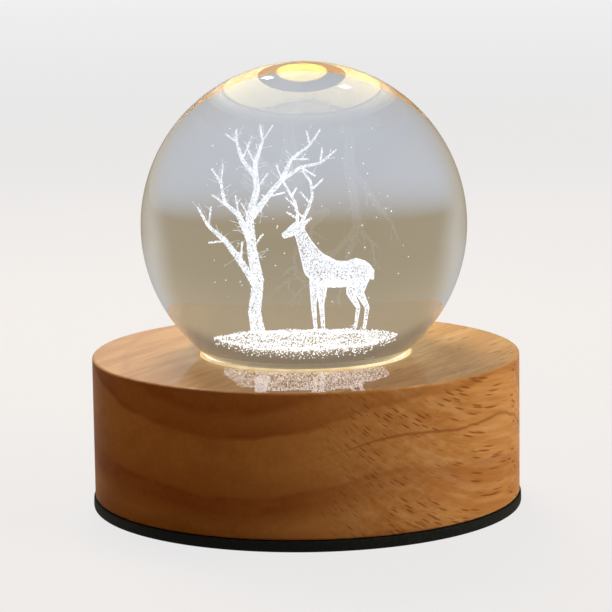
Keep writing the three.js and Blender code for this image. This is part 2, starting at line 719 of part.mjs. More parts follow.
// The two wires from the round board to the driver board
function wire(side) {
  const x = side * wireX;
  const startY = cupFlangeRadius - wireFromRim;
  const startZ = ledBoardFootZ - solderLine;
  const endY = boardFrontY + wireFromFront;
  const lowZ = mountedTopZ - wireSag;
  const route = new THREE.CatmullRomCurve3([
    new THREE.Vector3(x, startY, startZ),
    new THREE.Vector3(x, startY, (startZ + mountedTopZ) / 2),
    new THREE.Vector3(x, (3 * startY + endY) / 4, lowZ + wireSag / 4),
    new THREE.Vector3(x, (startY + endY) / 2, lowZ),
    new THREE.Vector3(x, (startY + 3 * endY) / 4, lowZ + wireSag / 8),
    new THREE.Vector3(x, endY, mountedTopZ - wireSag / 2),
    new THREE.Vector3(x, endY, mountedTopZ),
  ]);
  const section = new THREE.Shape();
  for (let i = 0; i < wireSides; i++) {
    const angle = 2 * Math.PI * i / wireSides;
    section[i ? 'lineTo' : 'moveTo'](wireRadius * Math.cos(angle), wireRadius * Math.sin(angle));
  }
  section.closePath();
  return new THREE.ExtrudeGeometry(section, { steps: wireSteps, extrudePath: route, bevelEnabled: false });
}
addPiece('wire_red', wire(-1), redSleeve);
addPiece('wire_black', wire(1), blackSleeve);

export default lamp;
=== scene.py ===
"""The looks of a night light: a clear crystal ball, engraved inside, on a turned-wood base that lights it."""
import math

import bmesh
import bpy
import numpy as np
from mathutils import Matrix, Vector


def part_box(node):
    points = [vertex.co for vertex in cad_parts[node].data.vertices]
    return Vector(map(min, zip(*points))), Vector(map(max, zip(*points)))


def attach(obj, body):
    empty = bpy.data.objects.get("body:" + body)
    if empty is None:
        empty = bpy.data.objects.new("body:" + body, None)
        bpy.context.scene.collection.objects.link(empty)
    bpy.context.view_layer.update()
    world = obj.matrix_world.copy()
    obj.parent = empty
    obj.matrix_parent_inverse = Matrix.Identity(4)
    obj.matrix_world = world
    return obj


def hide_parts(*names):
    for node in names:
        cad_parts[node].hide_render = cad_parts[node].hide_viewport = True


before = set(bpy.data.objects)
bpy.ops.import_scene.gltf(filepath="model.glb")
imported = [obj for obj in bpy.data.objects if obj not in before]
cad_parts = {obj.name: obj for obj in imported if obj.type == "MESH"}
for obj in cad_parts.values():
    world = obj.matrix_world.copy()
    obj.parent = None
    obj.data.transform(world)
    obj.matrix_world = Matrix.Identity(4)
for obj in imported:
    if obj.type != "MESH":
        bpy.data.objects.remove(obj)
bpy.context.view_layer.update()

# Lengths below are millimetres, and meshes are made in metres
MM = 0.001

# The photo's view
VIEW_DISTANCE = 550
VIEW_RISE = 0.169
VIEW_ROLL = -0.014
VIEW_ASIDE = -0.182
AIM_HEIGHT = 36.726
LENS = 175.07
SENSOR = 36


def node_box(name):
    """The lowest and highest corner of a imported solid, in millimetres."""
    low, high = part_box(name)
    return np.array(low) / MM, np.array(high) / MM


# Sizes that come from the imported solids
ball_low, ball_high = node_box("crystal_ball")
BALL_RADIUS = (ball_high[2] - ball_low[2]) / 2
BALL_HEIGHT = (ball_high[2] + ball_low[2]) / 2
wood_low, wood_high = node_box("wood_base")
WOOD_RADIUS = wood_high[0]
WOOD_FOOT, WOOD_TOP = wood_low[2], wood_high[2]
pad_high = node_box("base_pad")[1]
PAD_RADIUS, PAD_TOP = pad_high[0], pad_high[2]
ring_low, ring_high = node_box("seat_ring")
RING_OUTER, RING_FOOT = ring_high[0], ring_low[2]
cup_low, cup_high = node_box("light_cup")
lens_low, lens_high = node_box("diffuser_lens")
shell_low, shell_high = node_box("socket_shell")
cap_low, cap_high = node_box("button_cap")
REAR_HEIGHT = (shell_low[2] + shell_high[2]) / 2
SOCKET_X = (shell_low[0] + shell_high[0]) / 2
BUTTON_X = (cap_low[0] + cap_high[0]) / 2

# Sizes of the turned block
TOP_ROUND = 0.5
FOOT_ROUND = 0.4
RIM_ROUND = 0.35
DISH_GAP = 0.5
BORE_RADIUS = 12.2
FIT_GAP = 0.3
LENS_GAP = 0.45
RING_WIDTH = 1.8
LIP_RADIUS = RING_OUTER - RING_WIDTH - FIT_GAP
REBATE_RADIUS = RING_OUTER + FIT_GAP
REBATE_FLOOR = RING_FOOT - FIT_GAP
POCKET_RADIUS = 24
POCKET_ROOF = 16
CHANNEL_HALF = 15
CHANNEL_START = 1
CHANNEL_END = 32
CHANNEL_ROOF = 12.5
OVERRUN = 3

# Sizes of the cup
CUP_OUTER = BORE_RADIUS - FIT_GAP
CUP_GAP = 0.6
CUP_INNER = 10.2
CUP_FLANGE_TOP = 15.8
LENS_BORE = 9.7
LEDGE_RADIUS = 8.7
LEDGE_TOP = 19.79
LEDGE_THICKNESS = 0.8

# Sizes at the back
RECESS_FLOOR = shell_high[1]
RECESS_WIDTH = 13
RECESS_HEIGHT = 7.4
RECESS_CORNER = 3.4
MOUTH_ROUND = 0.45
BUTTON_RADIUS = 3.5
BUTTON_TRAVEL = 0.7
SHELL_WALL = 0.3
TONGUE_THICKNESS = 0.7

# Radii of the screws' shanks
MODULE_SHANK = 1.0
BOARD_SHANK = 0.85


# Surfaces

def arc(centre, size, start, end, steps):
    """Points on a circle round a centre, from one angle to another in degrees."""
    angle = np.radians(np.linspace(start, end, steps))
    return np.stack([centre[0] + size * np.cos(angle), centre[1] + size * np.sin(angle)], axis=1)


def line(start, end, steps):
    """Points spaced evenly from start to end, without the end itself."""
    share = np.arange(steps)[:, None] / steps
    return np.array(start, float) + share * (np.array(end, float) - np.array(start, float))


def under_ball(radius, gap):
    """Height, at a radius from the axis, of the sphere that lies a gap outside the ball, on its underside."""
    return BALL_HEIGHT - np.sqrt((BALL_RADIUS + gap) ** 2 - np.asarray(radius) ** 2)


def follow_ball(start, end, gap, steps):
    """Profile points [radius, height] along the ball's underside at a gap, between two radii."""
    radius = np.linspace(start, end, steps)
    return np.stack([radius, under_ball(radius, gap)], axis=1)


def sheet_of(points, close_rows=False, close_columns=False):
    """A grid of points as vertices and four-sided faces between each row and the next, and each column and
    the next. Closing rows or columns joins the last to the first."""
    rows, columns = points.shape[:2]
    index = np.arange(rows * columns).reshape(rows, columns)
    if close_rows:
        index = np.vstack([index, index[:1]])
    if close_columns:
        index = np.hstack([index, index[:, :1]])
    corners = [index[:-1, :-1], index[1:, :-1], index[1:, 1:], index[:-1, 1:]]
    return points.reshape(-1, 3), np.stack(corners, axis=-1).reshape(-1, 4)


def revolve(profile, sides, closed=False):
    """Each profile point [radius, height] goes round the Z axis: x = r cos a, y = r sin a, z = height."""
    profile = np.asarray(profile, float)
    angle = np.arange(sides) * 2 * np.pi / sides
    radius, height = profile[:, :1], profile[:, 1:]
    points = np.stack([radius * np.cos(angle), radius * np.sin(angle), height + 0 * angle], axis=-1)
    return sheet_of(points, close_rows=closed, close_columns=True)


def pointing_back(part, x, start):
    """Turns a surface built up along Z so that it points along +Y, from a start, at a place across."""
    points, faces = part
    return np.stack([points[:, 0] + x, points[:, 2] + start, REAR_HEIGHT - points[:, 1]], axis=1), faces


def joined(parts):
    """Several surfaces as one list of vertices and faces."""
    offsets = np.cumsum([0] + [len(points) for points, _ in parts])
    points = np.concatenate([points for points, _ in parts])
    return points, np.concatenate([faces + offset for (_, faces), offset in zip(parts, offsets)])


def solid(name, part, smooth=40):
    """A new object from vertices in millimetres: doubles merged, faces turned out, smooth up to an angle."""
    points, faces = part
    mesh = bpy.data.meshes.new(name)
    mesh.from_pydata(points * MM, [], faces)
    shape = bmesh.new()
    shape.from_mesh(mesh)
    bmesh.ops.remove_doubles(shape, verts=shape.verts, dist=MM * MM)
    bmesh.ops.dissolve_degenerate(shape, edges=shape.edges, dist=MM * MM)
    bmesh.ops.recalc_face_normals(shape, faces=shape.faces)
    shape.to_mesh(mesh)
    shape.free()
    made = bpy.data.objects.new(name, mesh)
    bpy.context.scene.collection.objects.link(made)
    soften(mesh, smooth)
    return made


def soften(mesh, degrees):
    """Smooth shading, with edges sharper than the angle left crisp."""
    mesh.shade_smooth()
    mesh.set_sharp_from_angle(angle=math.radians(degrees))


def carve(piece, others, smooth=40, operation="DIFFERENCE"):
    """Cuts closed shapes out of a piece, or joins them to it, and leaves plain geometry."""
    for other in others:
        step = piece.modifiers.new("step", "BOOLEAN")
        step.operation = operation
        step.solver = "EXACT"
        step.object = other
    whole = piece.evaluated_get(bpy.context.evaluated_depsgraph_get())
    carved = bpy.data.meshes.new_from_object(whole)
    piece.modifiers.clear()
    piece.data = carved
    soften(carved, smooth)
    for other in others:
        bpy.data.objects.remove(other)
    return piece


def place(piece, body, slot, finish, *nodes):
    """Gives a piece its finish and its body, and hides the solids that it stands for."""
    piece.data.materials.clear()
    piece.data.materials.append(finish)
    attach(piece, body)
    if nodes:
        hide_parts(*nodes)
    return piece


# Finishes

class Reading:
    """A number that a material works out, on which sums are written as plain expressions."""

    def __init__(self, finish, socket):
        self.finish = finish
        self.socket = socket

    def sum(self, operation, first, second):
        return self.finish.node("Math", {"operation": operation}, {0: first, 1: second})

    def __add__(self, other):
        return self.sum("ADD", self, other)

    __radd__ = __add__

    def __sub__(self, other):
        return self.sum("SUBTRACT", self, other)

    def __rsub__(self, other):
        return self.sum("SUBTRACT", other, self)

    def __mul__(self, other):
        return self.sum("MULTIPLY", self, other)

    __rmul__ = __mul__

    def __truediv__(self, other):
        return self.sum("DIVIDE", self, other)

    def __pow__(self, other):
        return self.sum("POWER", self, other)


class Finish:
    """The nodes of one material or of the world."""

    def __init__(self, owner):
        owner.use_nodes = True
        self.owner = owner
        self.tree = owner.node_tree
        self.tree.nodes.clear()

    def node(self, kind, settings=None, inputs=None, output=0):
        """Adds a node: settings first, a ramp's stops among them, then the values or links of its sockets."""
        made = self.tree.nodes.new("ShaderNode" + kind)
        for name, value in (settings or {}).items():
            if name == "stops":
                self.set_stops(made.color_ramp, value)
            else:
                setattr(made, name, value)
        for name, value in (inputs or {}).items():
            if isinstance(value, Reading):
                self.tree.links.new(value.socket, made.inputs[name])
            else:
                made.inputs[name].default_value = value
        return Reading(self, made.outputs[output]) if made.outputs else None

    @staticmethod
    def set_stops(ramp, stops):
        """A ramp's stops, each a position and a colour."""
        while len(ramp.elements) < len(stops):
            ramp.elements.new(1)
        for element, (position, colour) in zip(ramp.elements, stops):
            element.position = position
            element.color = (*colour, 1)

    def spot(self):
        """The place on the piece, in millimetres."""
        here = self.node("TexCoord", output="Object")
        return self.node("VectorMath", {"operation": "SCALE"}, {0: here, "Scale": 1 / MM})

    def along(self, vector, direction):
        """How far a vector reaches along a direction."""
        return self.node("VectorMath", {"operation": "DOT_PRODUCT"}, {0: vector, 1: direction}, "Value")

    def joined(self, x, y, z):
        """A vector from three numbers."""
        return self.node("CombineXYZ", None, {0: x, 1: y, 2: z})

    def from_axis(self, vector):
        """How far a place lies from the upright axis."""
        flat = self.node("VectorMath", {"operation": "MULTIPLY"}, {0: vector, 1: (1, 1, 0)})
        return self.node("VectorMath", {"operation": "LENGTH"}, {0: flat}, "Value")

    def noise(self, vector, scale=1, detail=2, roughness=0.5):
        """Smooth noise from 0 to 1."""
        inputs = {"Vector": vector, "Scale": scale, "Detail": detail, "Roughness": roughness}
        return self.node("TexNoise", None, inputs)

    def cells(self, vector, scale=1):
        """How far a place lies from the nearest of many strewn points."""
        return self.node("TexVoronoi", {"feature": "F1"}, {"Vector": vector, "Scale": scale})

    def step(self, value, low, high, start=0, end=1):
        """Goes smoothly from start to end while the value goes from low to high."""
        inputs = {"Value": value, "From Min": low, "From Max": high, "To Min": start, "To Max": end}
        return self.node("MapRange", {"interpolation_type": "SMOOTHSTEP"}, inputs)

    def blend(self, share, first, second, how="MIX"):
        """Two colours mixed by a share."""
        first = first if isinstance(first, Reading) else (*first, 1)
        second = second if isinstance(second, Reading) else (*second, 1)
        settings = {"data_type": "RGBA", "blend_type": how}
        return self.node("Mix", settings, {0: share, 6: first, 7: second}, 2)

    def ramp(self, value, stops):
        """A colour that follows stops, each a value and a colour, in straight runs."""
        low, high = stops[0][0], stops[-1][0]
        placed = [((at - low) / (high - low), colour) for at, colour in stops]
        return self.node("ValToRGB", {"stops": placed}, {0: (value - low) / (high - low)})

    def bump(self, height, distance, strength=1):
        """A normal from a height in millimetres."""
        inputs = {"Height": height, "Distance": distance * MM, "Strength": strength}
        return self.node("Bump", None, inputs)

    def surface(self, **values):
        """The main shader as the material's surface, with values whose names have underscores for spaces."""
        inputs = {name.replace("_", " "): value for name, value in values.items()}
        for name, value in inputs.items():
            if isinstance(value, tuple) and len(value) == 3:
                inputs[name] = (*value, 1)
        shader = self.node("BsdfPrincipled", None, inputs)
        self.node("OutputMaterial", None, {"Surface": shader})
        return self.owner


def new_finish(name):
    return Finish(bpy.data.materials.new(name))


# Growth rings lie round a pith that passes over the block, and the fibres run nearly along it

def grain_axes(turn, dip):
    """Three directions at right angles: along the grain, level across it, and upwards across it."""
    along = np.array([math.cos(turn) * math.cos(dip), math.sin(turn) * math.cos(dip), -math.sin(dip)])
    aside = np.array([-math.sin(turn), math.cos(turn), 0])
    return along, aside, np.cross(along, aside)


PITH_TURN = math.radians(69.1)
PITH_DIP = math.radians(20.6)
PITH_ASIDE = 0.7
PITH_HEIGHT = 50.3
FIBRE_TURN = math.radians(60)
FIBRE_DIP = math.radians(6)
_, pith_aside, pith_up = grain_axes(PITH_TURN, PITH_DIP)
fibre, fibre_aside, fibre_up = grain_axes(FIBRE_TURN, FIBRE_DIP)

WOOD_CREAM = (0.76, 0.49, 0.26)
WOOD_PALE = (0.66, 0.36, 0.13)
WOOD_GOLD = (0.60, 0.275, 0.076)
WOOD_MID = (0.50, 0.208, 0.054)
WOOD_RED = (0.42, 0.148, 0.035)
WOOD_TOP_TONE = (0.66, 0.40, 0.15)
WOOD_SHADE = (0.78, 0.68, 0.52)
WOOD_LINE = (0.26, 0.078, 0.019)
WOOD_PORE = (0.24, 0.066, 0.015)

# How strongly the lit pieces shine
DISH_GLOW = 4.2
RING_GLOW = 1.9
LENS_GLOW = 4.8
MARK_GLOW = 1.45

# The wood's colour, and how dark its lines are, by the distance from the pith in millimetres
ZONES = [
    (8, WOOD_GOLD), (13, WOOD_MID), (14, WOOD_GOLD), (21, WOOD_GOLD), (22, WOOD_MID), (23, WOOD_PALE),
    (30, WOOD_GOLD), (32, WOOD_MID), (33, WOOD_GOLD), (37, WOOD_MID), (40.6, WOOD_RED), (42.5, WOOD_MID),
    (45.3, WOOD_RED), (45.9, WOOD_GOLD), (51, WOOD_GOLD), (54.9, WOOD_MID), (55.6, WOOD_RED),
    (57.5, WOOD_RED), (60.5, WOOD_GOLD), (63.5, WOOD_MID), (64.2, WOOD_RED), (66.5, WOOD_GOLD),
    (71, WOOD_MID), (80, WOOD_GOLD),
]
LINES = [
    (8, 0), (13.3, 0), (13.6, 0.3), (13.9, 0), (21.9, 0), (22.2, 0.3), (22.6, 0), (31.8, 0), (32.2, 0.35),
    (32.7, 0), (40.3, 0), (41.1, 0.62), (41.8, 0), (44.9, 0), (45.6, 0.8), (45.95, 0), (54.8, 0),
    (55.3, 0.75), (55.9, 0.2), (57.5, 0), (63.6, 0), (64, 0.6), (64.6, 0), (80, 0),
]


def wood_finish():
    """Varnished wood cut from a trunk: zones round the pith, streaks and short dark pores along the fibres,
    and the warm light of the lamp in the dish and on the wood round the ball."""
    wood = new_finish("varnished_wood")
    here = wood.spot()

    # How far the place lies from the pith, with some wander, and how far to the right
    drift = (wood.noise(here, 0.03, 2) - 0.5) * 2.4 + (wood.noise(here, 0.16, 2) - 0.5) * 1.1
    aside = wood.along(here, pith_aside) - PITH_ASIDE
    above = wood.along(here, pith_up) - PITH_HEIGHT
    east = wood.along(here, (1, 0, 0))
    bend = wood.step(east, 12, 32, 0, 3.2) - wood.step(east, 26, 40, 0, 1.8)
    radius = (aside * aside + above * above) ** 0.5 + drift - bend
    right = wood.step(east, -2, 16)
    level = wood.along(here, (0, 0, 1))
    top = wood.step(level, WOOD_TOP - 0.4, WOOD_TOP)

    # Fine, broad and wide streaks, and pores, all drawn out along the fibres
    run = wood.along(here, fibre)
    across = wood.along(here, fibre_aside) + drift * 0.3
    height = wood.along(here, fibre_up)
    streaks = wood.noise(wood.joined(run * 0.03, across, height), 1, 6, 0.66)
    broad = wood.noise(wood.joined(run * 0.02, across * 0.12, height * 0.2), 1, 3)
    wide = wood.noise(wood.joined(run * 0.014, across * 0.34, height * 0.34), 1, 3)
    cell = wood.cells(wood.joined(run * 0.045, across * 1.2, height * 1.2))
    crowd = wood.noise(wood.joined(run * 0.06, across * 0.17, height * 0.17), 1, 2)
    crowd = wood.step(crowd, 0.36, 0.5) * (0.15 + right * 0.85)

    # On the right of the round side, dashes and streaks run round it, steep in front and level further on
    toward = wood.along(here, (0, -1, 0))
    round_side = wood.node("Math", {"operation": "ARCTAN2"}, {0: east, 1: toward}) * WOOD_RADIUS
    on_side = wood.step(round_side, -6, 4) * wood.step(round_side, 40, 45, 1, 0) * (1 - top)
    run_side = round_side * 0.514 - round_side * round_side * 0.0052
    slant = level + round_side - round_side * round_side * 0.0115
    dash = wood.cells(wood.joined(run_side, slant * 1.45, 7))
    hair = wood.noise(wood.joined(run_side * 0.26, slant * 0.5, 3), 1, 4, 0.6)
    pores = wood.step(cell, 0.14, 0.29, 1, 0) * crowd * (1 - on_side)
    pores = pores + wood.step(dash, 0.16, 0.34, 1, 0) * crowd * on_side

    # The colour, with dark lines at the edges of the zones
    # Toward the right the wood is blended paler: painted light, where the key lamp falls on that side
    colour = wood.blend(right * 0.5, wood.ramp(radius, ZONES), WOOD_PALE)
    colour = wood.blend(wood.step(broad, 0.42, 0.62) * 0.5, colour, WOOD_MID)
    colour = wood.blend(top * 0.45, colour, WOOD_TOP_TONE)
    shade = wood.step(streaks, 0.3, 0.7, 0.35 + right * 0.45 + top * 0.2, 0)
    shade = shade + wood.step(wide, 0.42, 0.6, 0, 0.6) * (top * 1.2 + right * 0.5)
    colour = wood.blend(shade, colour, WOOD_SHADE, "MULTIPLY")
    colour = wood.blend(wood.step(hair, 0.3, 0.52, 1, 0) * on_side * right * 0.2, colour, WOOD_CREAM)
    colour = wood.blend(wood.step(hair, 0.46, 0.7) * on_side * right * 0.5, colour, WOOD_RED)
    marks = wood.ramp(radius, [(at, (dark, dark, dark)) for at, dark in LINES]) * (0.45 + right * 0.4)
    marks = marks * wood.step(broad, 0.35, 0.55, 1, 0.4)
    thin = wood.step(radius, 50, 50.3) * wood.step(radius, 50.35, 50.6, 1, 0) * right * 0.7
    ragged = wood.step(streaks, 0.2, 0.6, 0.55, 1)
    colour = wood.blend((marks + thin) * ragged, colour, WOOD_LINE)
    colour = wood.blend(pores * 0.75, colour, WOOD_PORE)

    # The lamp's light in the dish and round it
    out = wood.from_axis(here)
    inside = wood.step(out, REBATE_RADIUS, REBATE_RADIUS + 0.25, 1, 0)
    inside = inside * wood.step(level, POCKET_ROOF + 1, POCKET_ROOF + 2)
    halo = wood.step(out, REBATE_RADIUS, REBATE_RADIUS + 7, 0.03, 0) * top
    lit = wood.step(out, LIP_RADIUS - 0.5, LIP_RADIUS + 0.1, 1, 0.12) * inside + halo * (1 - inside)
    warm = wood.blend(wood.step(streaks, 0.3, 0.7), (1, 0.86, 0.40), (1, 0.94, 0.62))
    glow = wood.blend(lit, (0, 0, 0), warm)

    relief = streaks * 0.010 - pores * 0.04
    return wood.surface(Base_Color=colour, Roughness=0.3 + pores * 0.3 + streaks * 0.1,
                        Normal=wood.bump(relief, 1), Specular_IOR_Level=0.01,
                        Coat_Weight=top, Coat_Roughness=0.03, Coat_IOR=1.75,
                        Emission_Color=glow, Emission_Strength=DISH_GLOW)


def crystal_finish():
    """Clear polished glass, with a trace of wiping marks in its polish."""
    glass = new_finish("clear_crystal")
    here = glass.spot()
    drawn_out = glass.node("VectorMath", {"operation": "MULTIPLY"}, {0: here, 1: (0.3, 0.3, 0.05)})
    marks = glass.noise(drawn_out, 1, 3)
    return glass.surface(Base_Color=(0.985, 0.99, 1.0), Roughness=glass.step(marks, 0.5, 0.9, 0, 0.012),
                         IOR=1.52, Transmission_Weight=1)


def engraving_finish():
    """White marks in the glass, lit most on their undersides, some brighter than others."""
    mark = new_finish("laser_marks")
    here = mark.spot()
    sparkle = mark.noise(here, 2.2, 2)
    tone = mark.blend(mark.step(sparkle, 0.3, 0.7), (0.62, 0.66, 0.74), (0.93, 0.96, 1.0))
    facing = mark.node("TexCoord", output="Normal")
    under = mark.step(mark.along(facing, (0, 0, -1)), -0.2, 0.6, 0.42, 1)
    lit = mark.blend(under, (0, 0, 0), tone)
    return mark.surface(Base_Color=(0.34, 0.35, 0.37), Roughness=0.7, Emission_Color=lit,
                        Emission_Strength=MARK_GLOW)


def silicone_finish():
    """Clear silicone that carries the lamp's warm light round the ball, brightest along its inner edge."""
    rubber = new_finish("lit_silicone")
    here = rubber.spot()
    out = rubber.from_axis(here)
    cloud = rubber.noise(here, 0.35, 2)
    edge = rubber.blend(rubber.step(cloud, 0.3, 0.7), (0.23, 0.19, 0.1), (0.34, 0.29, 0.17))
    tone = rubber.blend(rubber.step(out, RING_OUTER - RING_WIDTH, RING_OUTER - 0.3), (1, 0.95, 0.76), edge)
    return rubber.surface(Base_Color=(0.55, 0.42, 0.25), Roughness=0.35, Emission_Color=tone,
                          Emission_Strength=RING_GLOW)


def lens_finish():
    """Frosted lens, nearly white over the chips, yellow further out and orange at its edge."""
    lens = new_finish("frosted_lens")
    here = lens.spot()
    out = lens.from_axis(here)
    tone = lens.blend(lens.step(out, 2.5, 8.6), (1, 0.97, 0.84), (1, 0.85, 0.15))
    tone = lens.blend(lens.step(out, 8.6, 9.4), tone, (1, 0.46, 0.03))
    frost = lens.noise(here, 6, 2)
    return lens.surface(Base_Color=(0.9, 0.85, 0.7), Roughness=0.45 + frost * 0.1,
                        Normal=lens.bump(frost, 0.01), Emission_Color=tone, Emission_Strength=LENS_GLOW)


def moulded_finish(name, colour, roughness, grain=0.006):
    """Moulded plastic with a fine even grain and a faint change of shade."""
    plastic = new_finish(name)
    here = plastic.spot()
    fine = plastic.noise(here, 5, 2)
    cloud = plastic.noise(here, 0.2, 2)
    darker = tuple(value * 0.82 for value in colour)
    tone = plastic.blend(plastic.step(cloud, 0.3, 0.7), darker, colour)
    return plastic.surface(Base_Color=tone, Roughness=roughness + fine * 0.12,
                           Normal=plastic.bump(fine, grain))


def foam_finish():
    """Black closed-cell foam: small pits all over, the cut edge a little rougher."""
    foam = new_finish("black_foam")
    here = foam.spot()
    pits = foam.step(foam.cells(here, 2.4), 0.1, 0.6)
    speck = foam.noise(here, 1.2, 3)
    tone = foam.blend(foam.step(speck, 0.35, 0.75), (0.006, 0.007, 0.005), (0.014, 0.015, 0.012))
    return foam.surface(Base_Color=tone, Roughness=0.62 + speck * 0.2, Normal=foam.bump(pits, 0.05),
                        Specular_IOR_Level=0.15)


def metal_finish(name, colour, roughness, direction=(0, 0, 1)):
    """Plated metal with fine drawing marks across one direction."""
    metal = new_finish(name)
    here = metal.spot()
    drawn = metal.noise(metal.along(here, tuple(9 * value for value in direction)), 1, 3)
    cloud = metal.noise(here, 0.6, 2)
    darker = tuple(value * 0.8 for value in colour)
    tone = metal.blend(metal.step(cloud, 0.3, 0.7), darker, colour)
    return metal.surface(Base_Color=tone, Metallic=1.0, Roughness=roughness + drawn * 0.15,
                         Normal=metal.bump(drawn, 0.004))


def board_finish(name, mask, track):
    """A circuit board: solder mask over faint straight tracks."""
    board = new_finish(name)
    here = board.spot()
    lanes = board.node("TexBrick", {"offset": 0.5},
                       {"Vector": here, "Scale": 0.35, "Mortar Size": 0.04, "Mortar Smooth": 0.2}, "Fac")
    speck = board.noise(here, 3, 2)
    tone = board.blend(lanes * 0.7, mask, track)
    return board.surface(Base_Color=tone, Roughness=0.32 + speck * 0.12, Normal=board.bump(lanes, 0.02))


crystal = crystal_finish()
laser_marks = engraving_finish()
varnished_wood = wood_finish()
lit_silicone = silicone_finish()
frosted_lens = lens_finish()
black_foam = foam_finish()
grey_plastic = moulded_finish("grey_plastic", (0.36, 0.37, 0.38), 0.38)
black_plastic = moulded_finish("black_plastic", (0.017, 0.017, 0.019), 0.36)
red_sleeve = moulded_finish("red_sleeve", (0.42, 0.02, 0.015), 0.4)
black_sleeve = moulded_finish("black_sleeve", (0.018, 0.018, 0.018), 0.4)
phosphor = moulded_finish("phosphor", (0.85, 0.56, 0.1), 0.3)
nickel = metal_finish("nickel", (0.60, 0.60, 0.61), 0.2)
can_aluminium = metal_finish("can_aluminium", (0.74, 0.74, 0.75), 0.25)
gold = metal_finish("gold", (0.83, 0.60, 0.24), 0.18, (1, 0, 0))
white_board = board_finish("white_board", (0.78, 0.78, 0.75), (0.66, 0.66, 0.62))
green_board = board_finish("green_board", (0.018, 0.11, 0.045), (0.035, 0.19, 0.08))


# The ball

def crystal_ball():
    """Six square grids, one for each side of a cube, whose points are drawn out to the sphere's radius:
    point = centre + radius * side point / its length, with the grid lines spaced by equal angles."""
    steps = 110
    across = np.tan(np.linspace(-np.pi / 4, np.pi / 4, steps + 1))
    first, second = np.meshgrid(across, across, indexing="ij")
    parts = []
    for axis in range(3):
        for sign in (-1, 1):
            side = np.empty((*first.shape, 3))
            side[..., axis] = sign
            side[..., (axis + 1) % 3] = first
            side[..., (axis + 2) % 3] = second
            side *= BALL_RADIUS / np.linalg.norm(side, axis=-1, keepdims=True)
            side[..., 2] += BALL_HEIGHT
            parts.append(sheet_of(side))
    return solid("crystal_sphere", joined(parts), smooth=180)


ball = place(crystal_ball(), "ball", "crystal", crystal, "crystal_ball")


# The engraving: white marks in the glass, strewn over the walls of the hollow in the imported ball

ENGRAVED_SHARE = 2 / 3
DRIFT_LEVEL = -12.8
TREE_LEVEL = 5.6
TREE_SIDE = -4.5
MARK_SIZE = 0.07
FIGURE_MARKS = 90
DRIFT_MARKS = 16
RIME_SPRIGS = 190
RIME_MARKS = 15
FLAKES = 80
luck = np.random.default_rng(41)


def engraved_walls():
    """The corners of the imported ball's triangles that lie well inside it, measured from its centre."""
    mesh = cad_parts["crystal_ball"].data
    mesh.calc_loop_triangles()
    places = np.empty(3 * len(mesh.vertices))
    mesh.vertices.foreach_get("co", places)
    corners = np.empty(3 * len(mesh.loop_triangles), int)
    mesh.loop_triangles.foreach_get("vertices", corners)
    places = places.reshape(-1, 3) / MM - [0, 0, BALL_HEIGHT]
    triangles = places[corners.reshape(-1, 3)]
    return triangles[(np.linalg.norm(triangles, axis=2) < ENGRAVED_SHARE * BALL_RADIUS).all(axis=1)]


def strewn(triangles, density):
    """Random places on triangles, so many to a square millimetre: a corner, plus u times one side, plus v
    times the other, with u + v folded back where it passes 1."""
    sides = triangles[:, 1:] - triangles[:, :1]
    areas = np.linalg.norm(np.cross(sides[:, 0], sides[:, 1]), axis=1) / 2
    count = int(areas.sum() * density)
    chosen = luck.choice(len(triangles), count, p=areas / areas.sum())
    share = luck.random((count, 2))
    share = np.where(share.sum(axis=1, keepdims=True) > 1, 1 - share, share)
    return triangles[chosen, 0] + (share[:, :, None] * sides[chosen]).sum(axis=1)


def snow(places):
    """Marks of the drift: its edge is ragged, and some fall away below it."""
    turn = np.arctan2(places[:, 1], places[:, 0])
    spread = 1 + 0.05 * np.sin(5 * turn) + 0.04 * np.sin(11 * turn + 1)
    shifted = places * np.stack([spread, spread, np.ones(len(places))], axis=1)
    shifted[:, 2] += 0.18 * np.sin(0.9 * places[:, 0]) * np.cos(1.3 * places[:, 1])
    shifted[:, 2] -= 1.1 * luck.random(len(places)) ** 7
    return shifted + luck.normal(0, 0.05, places.shape)


def rime(places):
    """Fine sprigs on the tree's boughs: each is a short row of marks from a place on the tree, outwards and
    up. The tree is what lies above the stag's back, and beside it above its feet."""
    tree = places[(places[:, 2] > TREE_LEVEL) | ((places[:, 0] < TREE_SIDE) & (places[:, 2] > TREE_SIDE))]
    starts = tree[luck.integers(0, len(tree), RIME_SPRIGS)]
    ahead = luck.normal([0, 0, 0.45], [0.6, 0.35, 0.45], starts.shape)
    reach = luck.uniform(0.8, 2.0, RIME_SPRIGS)[:, None] / np.linalg.norm(ahead, axis=1, keepdims=True)
    along = np.linspace(0, 1, RIME_MARKS)[None, :, None]
    droop = along ** 2 * luck.normal(0, 0.25, (RIME_SPRIGS, 1, 3))
    return (starts[:, None] + along * (ahead * reach)[:, None] + droop).reshape(-1, 3)


def snowflakes():
    """A few loose marks in the air round the tree and the stag."""
    places = luck.uniform([-12, -6, -10], [12, 6, 12], (FLAKES, 3))
    return places[np.linalg.norm(places, axis=1) < BALL_RADIUS / 2]


